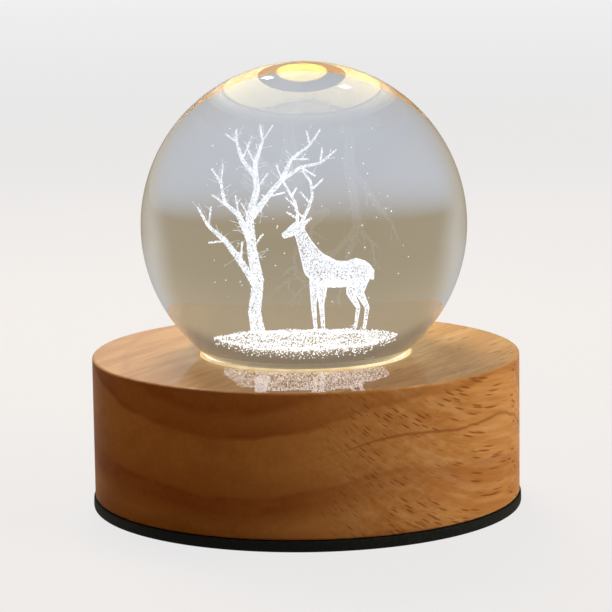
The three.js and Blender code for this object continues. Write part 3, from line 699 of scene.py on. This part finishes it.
def marks_mesh(name, places, size):
    """One small four-sided mark at each place, each with its own size and its own turn about Z."""
    corners = np.array([[1, 1, 1], [1, -1, -1], [-1, 1, -1], [-1, -1, 1]]) / math.sqrt(3)
    sizes = size * luck.uniform(0.7, 1.3, len(places))
    turn = luck.random(len(places)) * 2 * np.pi
    cos, sin = np.cos(turn)[:, None], np.sin(turn)[:, None]
    x = corners[:, 0] * cos - corners[:, 1] * sin
    y = corners[:, 0] * sin + corners[:, 1] * cos
    z = corners[:, 2] + 0 * x
    points = np.stack([x, y, z], axis=-1) * sizes[:, None, None] + places[:, None, :]
    sides = np.array([[0, 1, 2], [0, 3, 1], [0, 2, 3], [1, 3, 2]])
    faces = (np.arange(len(places))[:, None, None] * 4 + sides).reshape(-1, 3)
    mesh = bpy.data.meshes.new(name)
    mesh.from_pydata((points.reshape(-1, 3) + [0, 0, BALL_HEIGHT]) * MM, [], faces)
    made = bpy.data.objects.new(name, mesh)
    bpy.context.scene.collection.objects.link(made)
    return made


walls = engraved_walls()
in_drift = walls[:, :, 2].mean(axis=1) < DRIFT_LEVEL
figure_places = strewn(walls[~in_drift], FIGURE_MARKS)
drift_places = snow(strewn(walls[in_drift], DRIFT_MARKS))
for name, places, size in [
    ("engraved_figures", figure_places, MARK_SIZE),
    ("engraved_drift", drift_places, 1.3 * MARK_SIZE),
    ("engraved_rime", rime(figure_places), 0.7 * MARK_SIZE),
    ("engraved_snowflakes", snowflakes(), 1.7 * MARK_SIZE),
]:
    place(marks_mesh(name, places, size), "ball", "crystal", laser_marks)


# The ring that the ball rests on

def seat_ring():
    """A ring whose top follows the ball, with its edges rounded."""
    inner, outer = RING_OUTER - RING_WIDTH, RING_OUTER
    edge = 0.18
    top = follow_ball(outer - edge, inner + edge, FIT_GAP, 12)
    profile = np.concatenate([
        arc((inner + edge, RING_FOOT + edge), edge, 180, 270, 5),
        arc((outer - edge, RING_FOOT + edge), edge, 270, 360, 5),
        arc((outer - edge, under_ball(outer, FIT_GAP) - edge), edge, 0, 70, 5),
        top,
        arc((inner + edge, top[-1][1] - edge), edge, 110, 180, 5),
    ])
    return solid("silicone_ring", revolve(profile, 256, closed=True), smooth=60)


place(seat_ring(), "ring", "silicone", lit_silicone, "seat_ring")


# The turned block

def rounded_outline(width, height, corner, steps):
    """Points [across, up] and outward directions round a box with round corners: each corner's centre plus
    the corner's radius along the direction."""
    angle = np.radians(np.concatenate([quarter * 90 + np.linspace(0, 90, steps) for quarter in range(4)]))
    outward = np.stack([np.cos(angle), np.sin(angle)], axis=1)
    signs = np.repeat([[1, 1], [-1, 1], [-1, -1], [1, -1]], steps, axis=0)
    centres = signs * (np.array([width, height]) / 2 - corner)
    return centres + corner * outward, outward


def mouth_cutter(name, outline, outward, x, floor, round_size):
    """A hole cut in from the block's back. Its wall runs from a flat floor to the round side of the block:
    y = sqrt(block radius^2 - x^2) - depth, and near the mouth it flares by
    size - sqrt(size^2 - (size - depth)^2), so the edge that it leaves is rounded all the way round."""
    def side(offset):
        return np.sqrt(WOOD_RADIUS ** 2 - (x + outline[:, 0] + offset * outward[:, 0]) ** 2)

    depth = round_size * (1 - np.sin(np.linspace(0, np.pi / 2, 8)))
    flare = round_size - np.sqrt(np.maximum(round_size ** 2 - (round_size - depth) ** 2, 0))
    rows = []
    for share in np.linspace(0, 1, 6)[:-1]:
        rows.append((0 * outward, (1 - share) * floor + share * (side(0) - round_size)))
    for down, offset in zip(depth, flare):
        rows.append((offset * outward, side(offset) - down))
    rows.append((round_size * outward, side(round_size) + OVERRUN))
    points = []
    for shift, level in rows:
        across, up = (outline + shift).T
        points.append(np.stack([x + across, level + 0 * across, REAR_HEIGHT + up], axis=1))
    points = np.array(points)
    closing = [np.repeat(points[end].mean(0)[None], len(outline), axis=0)[None] for end in (0, -1)]
    return solid(name, sheet_of(np.concatenate([closing[0], points, closing[1]]), close_columns=True))


def box_cutter(name, low, high):
    """A box, as a square outline drawn from its lowest to its highest level and closed at both ends."""
    low, high = np.array(low, float), np.array(high, float)
    square = np.array([[0, 0], [1, 0], [1, 1], [0, 1]])
    edge = low[:2] + square * (high - low)[:2]
    middle = np.repeat((low + high)[None, :2] / 2, 4, axis=0)
    rows = [(middle, low[2]), (edge, low[2]), (edge, high[2]), (middle, high[2])]
    points = np.array([np.column_stack([flat, np.full(4, level)]) for flat, level in rows])
    return solid(name, sheet_of(points, close_columns=True))


def rod_cutter(name, radius, low, high, x=0, y=0):
    """An upright rod."""
    points, faces = revolve([(0, low), (radius, low), (radius, high), (0, high)], 48)
    return solid(name, (points + [x, y, 0], faces))


def screw_cutter(screw, shank, low, high):
    """A rod round a screw's shank, with a gap."""
    x, y, _ = sum(node_box(screw)) / 2
    return rod_cutter(f"{screw}_cutter", shank + FIT_GAP, low, high, x, y)


def wood_block():
    """The turned block. Going round its section: foot, side, rounded rim, top, the rebate for the ring,
    the lip, the dish that follows the ball, and the bore for the light."""
    lip_level = under_ball(LIP_RADIUS, DISH_GAP)
    profile = np.concatenate([
        line((BORE_RADIUS, WOOD_FOOT), (WOOD_RADIUS - FOOT_ROUND, WOOD_FOOT), 8),
        arc((WOOD_RADIUS - FOOT_ROUND, WOOD_FOOT + FOOT_ROUND), FOOT_ROUND, -90, 0, 6),
        line((WOOD_RADIUS, WOOD_FOOT + FOOT_ROUND), (WOOD_RADIUS, WOOD_TOP - TOP_ROUND), 24)[1:],
        arc((WOOD_RADIUS - TOP_ROUND, WOOD_TOP - TOP_ROUND), TOP_ROUND, 0, 90, 12),
        line((WOOD_RADIUS - TOP_ROUND, WOOD_TOP), (REBATE_RADIUS + RIM_ROUND, WOOD_TOP), 12)[1:],
        arc((REBATE_RADIUS + RIM_ROUND, WOOD_TOP - RIM_ROUND), RIM_ROUND, 90, 180, 6),
        line((REBATE_RADIUS, REBATE_FLOOR), (LIP_RADIUS, REBATE_FLOOR), 2),
        line((LIP_RADIUS, REBATE_FLOOR), (LIP_RADIUS, lip_level), 2),
        follow_ball(LIP_RADIUS, BORE_RADIUS, DISH_GAP, 16),
    ])
    block = solid("turned_block", revolve(profile, 288, closed=True), smooth=30)
    recess = rounded_outline(RECESS_WIDTH, RECESS_HEIGHT, RECESS_CORNER, 14)
    hole = BUTTON_RADIUS + FIT_GAP
    button = rounded_outline(2 * hole, 2 * hole, hole - MM, 14)
    shell = shell_high - shell_low + 2 * FIT_GAP
    slot_low = (SOCKET_X - shell[0] / 2, CHANNEL_END - FIT_GAP, REAR_HEIGHT - shell[2] / 2)
    slot_high = (SOCKET_X + shell[0] / 2, RECESS_FLOOR + FIT_GAP, REAR_HEIGHT + shell[2] / 2)
    channel_low = (-CHANNEL_HALF, CHANNEL_START, WOOD_FOOT - OVERRUN)
    channel_high = (CHANNEL_HALF, CHANNEL_END, CHANNEL_ROOF)
    cutters = [
        rod_cutter("pocket_cutter", POCKET_RADIUS, WOOD_FOOT - OVERRUN, POCKET_ROOF),
        box_cutter("channel_cutter", channel_low, channel_high),
        mouth_cutter("recess_cutter", *recess, SOCKET_X, RECESS_FLOOR, MOUTH_ROUND),
        mouth_cutter("button_cutter", *button, BUTTON_X, CHANNEL_END - FIT_GAP, MOUTH_ROUND),
        box_cutter("slot_cutter", slot_low, slot_high),
    ]
    for kind, shank, roof in [("module", MODULE_SHANK, POCKET_ROOF), ("board", BOARD_SHANK, CHANNEL_ROOF)]:
        for screw in (f"{kind}_screw_1", f"{kind}_screw_2"):
            tip = node_box(screw)[1][2]
            cutters.append(screw_cutter(screw, shank, roof - FIT_GAP, tip + FIT_GAP))
    return carve(block, cutters, smooth=30)


place(wood_block(), "base", "oiled_wood", varnished_wood, "wood_base")


# The pad, the cup and the lens

def foam_pad():
    """A disc of foam with a softly rounded lower edge and a side that swells along part of a sine."""
    foot_round, top_round, swelling, slack = 0.4, 0.12, 0.06, 0.02
    out = PAD_RADIUS - swelling + swelling * np.sin(np.linspace(0.9, np.pi - 0.2, 12))
    up = np.linspace(foot_round, PAD_TOP - top_round, 12)
    shoulder = PAD_RADIUS - swelling - top_round
    profile = np.concatenate([
        line((0, 0), (PAD_RADIUS - foot_round, 0), 10),
        arc((PAD_RADIUS - foot_round, foot_round), foot_round - slack, -90, -8, 6),
        np.stack([out, up], axis=1),
        arc((shoulder, PAD_TOP - top_round), top_round, 10, 90, 5),
        line((shoulder - slack, PAD_TOP), (0, PAD_TOP), 10),
        [(0, PAD_TOP)],
    ])
    return solid("foam_pad", revolve(profile, 256), smooth=50)


place(foam_pad(), "base", "black_foam", black_foam, "base_pad")


def light_cup():
    """The cup: a screwed flange, a barrel up the bore, a top that follows the ball, and the lens's ledge."""
    flange, foot = cup_high[0], cup_low[2]
    edge = 0.2
    top = follow_ball(CUP_OUTER - edge, LENS_BORE + edge, CUP_GAP, 10)
    profile = np.concatenate([
        line((CUP_INNER, foot), (flange - edge, foot), 4),
        arc((flange - edge, foot + edge), edge, -90, 0, 5),
        arc((flange - edge, CUP_FLANGE_TOP - edge), edge, 0, 90, 5),
        line((CUP_OUTER, CUP_FLANGE_TOP), (CUP_OUTER, top[0][1] - edge), 4),
        arc((CUP_OUTER - edge, top[0][1] - edge), edge, 0, 80, 5),
        top[1:-1],
        arc((LENS_BORE + edge, top[-1][1] - edge), edge, 100, 180, 5),
        line((LENS_BORE, LEDGE_TOP), (LEDGE_RADIUS, LEDGE_TOP), 2),
        line((LEDGE_RADIUS, LEDGE_TOP), (LEDGE_RADIUS, LEDGE_TOP - LEDGE_THICKNESS), 2),
        line((LEDGE_RADIUS, LEDGE_TOP - LEDGE_THICKNESS), (CUP_INNER, LEDGE_TOP - LEDGE_THICKNESS), 2),
        line((CUP_INNER, LEDGE_TOP - LEDGE_THICKNESS), (CUP_INNER, foot), 3),
    ])
    cup = solid("lamp_cup", revolve(profile, 160, closed=True), smooth=35)
    cutters = [screw_cutter(screw, MODULE_SHANK, foot - 1, CUP_FLANGE_TOP + 1)
               for screw in ("module_screw_1", "module_screw_2")]
    return carve(cup, cutters, smooth=35)


place(light_cup(), "base", "grey_plastic", grey_plastic, "light_cup")


def lens():
    """The lens: flat below, with a rounded rim and a hollow top that follows the ball at a small gap."""
    radius, foot = lens_high[0], lens_low[2]
    edge = 0.3
    rim = radius - edge
    profile = np.concatenate([
        line((0, foot), (rim, foot), 8),
        arc((rim, foot + edge), edge, -90, 0, 6),
        arc((rim, under_ball(rim, LENS_GAP) - edge), edge, 0, 90, 6),
        follow_ball(rim, 0, LENS_GAP, 20)[1:],
    ])
    return solid("frosted_disc", revolve(profile, 128), smooth=50)


place(lens(), "base", "frosted_lens", frosted_lens, "diffuser_lens")


# The socket and the button at the back

def plate(outline, thickness):
    """An outline drawn up by a thickness and closed at both ends: scale 0, 1, 1, 0 at levels 0, 0, t, t."""
    rows = [(0, 0), (1, 0), (1, thickness), (0, thickness)]
    points = np.array([np.column_stack([scale * outline, np.full(len(outline), level)])
                       for scale, level in rows])
    return sheet_of(points, close_columns=True)


def socket_shell():
    """The drawn shell: an oblong outline carried round a thin wall section whose mouth is rolled round."""
    width, length, height = shell_high - shell_low
    height = height - SHELL_WALL
    middle, outward = rounded_outline(width - SHELL_WALL, height, height / 2 - MM, 16)
    half = SHELL_WALL / 2
    section = np.concatenate([
        line((half, 0), (half, length - half), 6),
        arc((0, length - half), half, 0, 180, 9),
        line((-half, length - half), (-half, 0), 6)[1:],
        [(-half, 0)],
    ])
    flat = middle[None] + section[:, None, :1] * outward[None]
    level = np.repeat(section[:, 1:], len(middle), axis=1)[..., None]
    part = sheet_of(np.concatenate([flat, level], axis=-1), close_rows=True, close_columns=True)
    return solid("socket_mouth", pointing_back(part, SOCKET_X, shell_low[1]), smooth=40)


place(socket_shell(), "base", "steel", nickel, "socket_shell")


def tongue_contacts():
    """Two rows of thin gilt contacts on the tongue, each a small plate with a rounded outline."""
    count, pitch, length, width, thickness, corner, set_back = 12, 0.5, 3.4, 0.26, 0.05, 0.08, 0.5
    outline, _ = rounded_outline(width, length, corner, 4)
    middle = node_box("socket_tongue")[1][1] - set_back - length / 2
    parts = []
    for side in (-1, 1):
        for number in range(count):
            x = SOCKET_X + (number - (count - 1) / 2) * pitch
            seat = REAR_HEIGHT + side * TONGUE_THICKNESS / 2
            points, faces = plate(outline, side * thickness)
            parts.append((points + [x, middle, seat], faces))
    return solid("tongue_contacts", joined(parts), smooth=30)


place(tongue_contacts(), "base", "steel", gold)


def button():
    """The button: a round cap with a softly dished crown, its stem, and the two ears that hold it in."""
    radius, length = BUTTON_RADIUS, cap_high[1] - cap_low[1]
    crown, dish, stem, neck, edge = 0.5, 0.15, 2.4, 0.1, 0.15
    ear_span, ear_height, ear_corner, ear_thickness = 10.4, 5.0, 0.6, 0.8
    shoulder = CHANNEL_END + BUTTON_TRAVEL + FIT_GAP - cap_low[1]
    out = np.linspace(radius - crown, 0, 14)
    face = np.stack([out, length - dish * (1 - (out / (radius - crown)) ** 2) ** 2], axis=1)
    profile = np.concatenate([
        [(0, 0), (stem, 0), (stem, shoulder - neck), (stem + neck, shoulder)],
        arc((radius - edge, shoulder + edge), edge, -90, 0, 4),
        arc((radius - crown, length - crown), crown, 0, 90, 10),
        face[1:],
    ])
    outline, _ = rounded_outline(ear_span, ear_height, ear_corner, 5)
    cap = solid("button", pointing_back(revolve(profile, 96), BUTTON_X, cap_low[1]), smooth=45)
    ears = solid("button_ears", pointing_back(plate(outline, ear_thickness), BUTTON_X, cap_low[1]))
    return carve(cap, [ears], 45, "UNION")


place(button(), "button", "black_plastic", black_plastic, "button_cap")


# Solids that stay as they are get their finishes

for node, finish in {
    "led_board": white_board,
    "driver_board": green_board,
    "driver_chip": black_plastic,
    "capacitor": can_aluminium,
    "resistor_1": black_plastic,
    "resistor_2": black_plastic,
    "module_screw_1": nickel,
    "module_screw_2": nickel,
    "board_screw_1": nickel,
    "board_screw_2": nickel,
    "led_chip_1": phosphor,
    "led_chip_2": phosphor,
    "led_chip_3": phosphor,
    "led_chip_4": phosphor,
    "socket_tongue": black_plastic,
    "switch_body": black_plastic,
    "switch_plunger": grey_plastic,
    "wire_red": red_sleeve,
    "wire_black": black_sleeve,
}.items():
    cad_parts[node].material_slots[0].material = finish


# Stage, light and camera

# The floor's reach in metres, and how far under the pad it lies in millimetres
FLOOR_REACH = 12
FLOOR_DEPTH = 0.05
FLOOR_PALE = (0.97, 0.97, 0.975)
FLOOR_MATT = (0.30, 0.215, 0.135)
FLOOR_SHOWN = 0.8
MIRRORED_NEAR = (0.53, 0.555, 0.60)
MIRRORED_FAR = (0.35, 0.29, 0.195)
MIRRORED_SIDE = (0.57, 0.54, 0.48)
SKY_PALE = (0.95, 0.95, 0.955)
SKY_HIGH = (0.42, 0.34, 0.225)
SKY_TOP = (0.20, 0.165, 0.12)
MIRRORED_LEFT = (0.50, 0.47, 0.42)
AMBIENT = (0.095, 0.052, 0.026)

# Where the floor's shades change, in millimetres from the middle
MIRROR_FADE = (140, 380)
FLOOR_FADE = (400, 2500)
SHOWN_FADE = (300, 2500)

# Where the surround's shades change, by a direction's rise, and its reach to the side, squared and plain
HIGH_FADE = (0.0, 0.35)
TOP_FADE = (0.45, 0.6)
SIDE_FADE = (0.4, 0.8)
LEFT_FADE = (-0.05, 0.02)


def ray_kinds(stage):
    """Three readings that are one for rays from the camera, from gloss or through glass, and from gloss
    alone."""
    names = ("Is Camera Ray", "Is Glossy Ray", "Is Transmission Ray")
    straight, glossy, through = (stage.node("LightPath", None, None, name) for name in names)
    mirrored = stage.node("Math", {"operation": "ADD", "use_clamp": True}, {0: glossy, 1: through})
    return straight, mirrored, glossy * (1 - through)


def pale_floor():
    """A pale level floor. Part of what it shows is a matt shade that takes the shadow, and the light that it
    throws back on the object is warm and dim. Glass and gloss show it a shade darker, and tan far off."""
    points = np.array([[[-1, -1, 0], [1, -1, 0]], [[-1, 1, 0], [1, 1, 0]]], float) * FLOOR_REACH / MM
    points[..., 2] = -FLOOR_DEPTH
    floor = solid("floor", sheet_of(points))
    stage = new_finish("pale_floor")
    far = stage.node("VectorMath", {"operation": "LENGTH"}, {0: stage.spot()}, "Value")
    straight, mirrored, _ = ray_kinds(stage)
    mirror = stage.blend(stage.step(far, *MIRROR_FADE), MIRRORED_NEAR, MIRRORED_FAR)
    aside = stage.along(stage.spot(), (1, 0, 0)) / far
    mirror = stage.blend(stage.step(aside * aside, *SIDE_FADE), mirror, MIRRORED_SIDE)
    plain = stage.blend(stage.step(far, *FLOOR_FADE), FLOOR_PALE, SKY_PALE)
    matt = stage.node("BsdfDiffuse", None, {"Color": (*FLOOR_MATT, 1)})
    shown = stage.node("Emission", None, {"Color": stage.blend(straight, mirror, plain), "Strength": 1.0})
    share = straight * stage.step(far, *SHOWN_FADE, FLOOR_SHOWN, 1) + mirrored
    both = stage.node("MixShader", None, {0: share, 1: matt, 2: shown})
    stage.node("OutputMaterial", None, {"Surface": both})
    floor.data.materials.append(stage.owner)


def backdrop():
    """A plain pale surround, tan in glass and gloss, with a dimmer even light for matt surfaces."""
    world = bpy.data.worlds.new("surround")
    bpy.context.scene.world = world
    stage = Finish(world)
    direction = stage.node("TexCoord", output="Generated")
    rise = stage.along(direction, (0, 0, 1))
    straight, mirrored, glossy = ray_kinds(stage)
    mirror = stage.blend(stage.step(rise, *HIGH_FADE), MIRRORED_FAR, SKY_HIGH)
    mirror = stage.blend(stage.step(rise, *TOP_FADE), mirror, SKY_TOP)
    aside = stage.along(direction, (1, 0, 0))
    mirror = stage.blend(stage.step(aside * aside, *SIDE_FADE), mirror, MIRRORED_SIDE)
    mirror = stage.blend(glossy * stage.step(aside, *LEFT_FADE, 1, 0), mirror, MIRRORED_LEFT)
    tone = stage.blend(straight, mirror, SKY_PALE)
    shown = stage.node("Background", None, {"Color": tone, "Strength": 1.0})
    even = stage.node("Background", None, {"Color": (*AMBIENT, 1), "Strength": 1.0})
    both = stage.node("MixShader", None, {0: straight + mirrored, 1: even, 2: shown})
    stage.node("OutputWorld", None, {"Surface": both})


def panel_light(name, turn, rise, distance, width, height, watts, gloss=True, shaded=False):
    """A soft rectangular lamp that faces the object. Turn 0 is the viewer's side and 90 the viewer's right,
    and rise is above the table, both in degrees; distance and sides are in metres. Without gloss, the lamp
    itself isn't mirrored. Only a shaded lamp's light is held back by the ball."""
    turn, rise = math.radians(turn), math.radians(rise)
    away = Vector((math.sin(turn) * math.cos(rise), -math.cos(turn) * math.cos(rise), math.sin(rise)))
    lamp = bpy.data.lights.new(name, "AREA")
    lamp.shape = "RECTANGLE"
    lamp.size, lamp.size_y = width, height
    lamp.energy = watts
    holder = bpy.data.objects.new(name, lamp)
    holder.rotation_mode = "QUATERNION"
    holder.location = Vector((0, 0, AIM_HEIGHT * MM)) + away * distance
    holder.rotation_quaternion = away.to_track_quat("Z", "Y")
    holder.visible_glossy = gloss
    holder.visible_transmission = False
    if not shaded:
        holder.light_linking.blocker_collection = lets_light_pass
    bpy.context.scene.collection.objects.link(holder)


def photo_camera():
    """A narrow view from a little above the table, turned by under a degree as the photo's is."""
    ahead = np.array([0, math.cos(VIEW_RISE), -math.sin(VIEW_RISE)])
    foot = np.array([0, 0, AIM_HEIGHT]) - VIEW_DISTANCE * ahead
    level = np.array([1.0, 0, 0])
    up = np.cross(level, ahead)
    right = math.cos(VIEW_ROLL) * level + math.sin(VIEW_ROLL) * up
    top = -math.sin(VIEW_ROLL) * level + math.cos(VIEW_ROLL) * up
    camera = bpy.data.objects.new("photo_camera", bpy.data.cameras.new("photo_camera"))
    camera.data.lens = LENS
    camera.data.sensor_width = SENSOR
    camera.data.clip_start, camera.data.clip_end = 0.01, 100
    columns = np.column_stack([right, top, -ahead, (foot - VIEW_ASIDE * right) * MM])
    camera.matrix_world = Matrix([*columns.tolist(), [0, 0, 0, 1]])
    bpy.context.scene.collection.objects.link(camera)
    bpy.context.scene.camera = camera


# Lamps that aren't shaded take their shadows from everything but the ball
lets_light_pass = bpy.data.collections.new("lets_light_pass")
lets_light_pass.objects.link(ball)
lets_light_pass.collection_objects[0].light_linking.link_state = "EXCLUDE"
pale_floor()
backdrop()
panel_light("key_panel", 82, 32, 1.0, 0.9, 0.7, 11, gloss=False)
panel_light("back_panel", 197, 52, 0.42, 0.2, 0.2, 2.6, gloss=False, shaded=True)
panel_light("high_panel", 150, 80, 1.1, 0.5, 0.5, 1.2, gloss=False)
panel_light("left_glint", 192.5, 39, 4.0, 0.16, 0.40, 2.2)
panel_light("right_glint", 157, 48.5, 4.0, 0.18, 0.36, 2.2)
photo_camera()
bpy.context.scene.view_settings.view_transform = "Standard"
